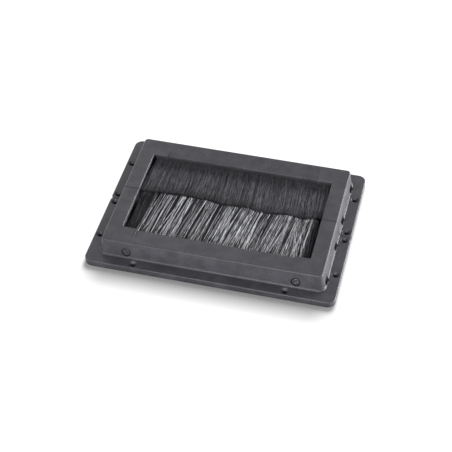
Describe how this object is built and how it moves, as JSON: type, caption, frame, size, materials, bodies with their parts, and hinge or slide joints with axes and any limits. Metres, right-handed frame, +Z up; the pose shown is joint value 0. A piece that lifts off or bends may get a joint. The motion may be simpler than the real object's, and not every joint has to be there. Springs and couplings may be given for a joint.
{
  "type": "brush cable grommet",
  "caption": "Split surface-mount floor grommet: a low moulded frame with a countersunk screw flange, its window closed by facing rows of bristles that let cables through.",
  "frame": {"origin": "centre of the rectangle that the flange covers, on the surface it stands on", "axes": "+X along the grommet's longer side and along the seam, +Y towards the rear half, +Z up out of the floor"},
  "size_m": [0.2806, 0.2082, 0.0274],
  "materials": {
    "moulded_frame": "charcoal moulded plastic with a fine satin grain",
    "retainer_bar": "black moulded plastic",
    "brush_channel": "folded steel sheet with a black coat",
    "core_wire": "drawn steel wire",
    "bristles": "dark nylon filament with a sheen along its length",
    "screws": "black-finished steel"
  },
  "bodies": {
    "root": {"front_frame": "moulded_frame", "rear_frame": "moulded_frame", "front_retainer_bar": "retainer_bar", "rear_retainer_bar": "retainer_bar", "front_brush_channel": "brush_channel", "rear_brush_channel": "brush_channel", "front_core_wire": "core_wire", "rear_core_wire": "core_wire", "front_bristles": "bristles", "rear_bristles": "bristles", "front_screws": "screws", "rear_screws": "screws"}
  },
  "joints": []
}
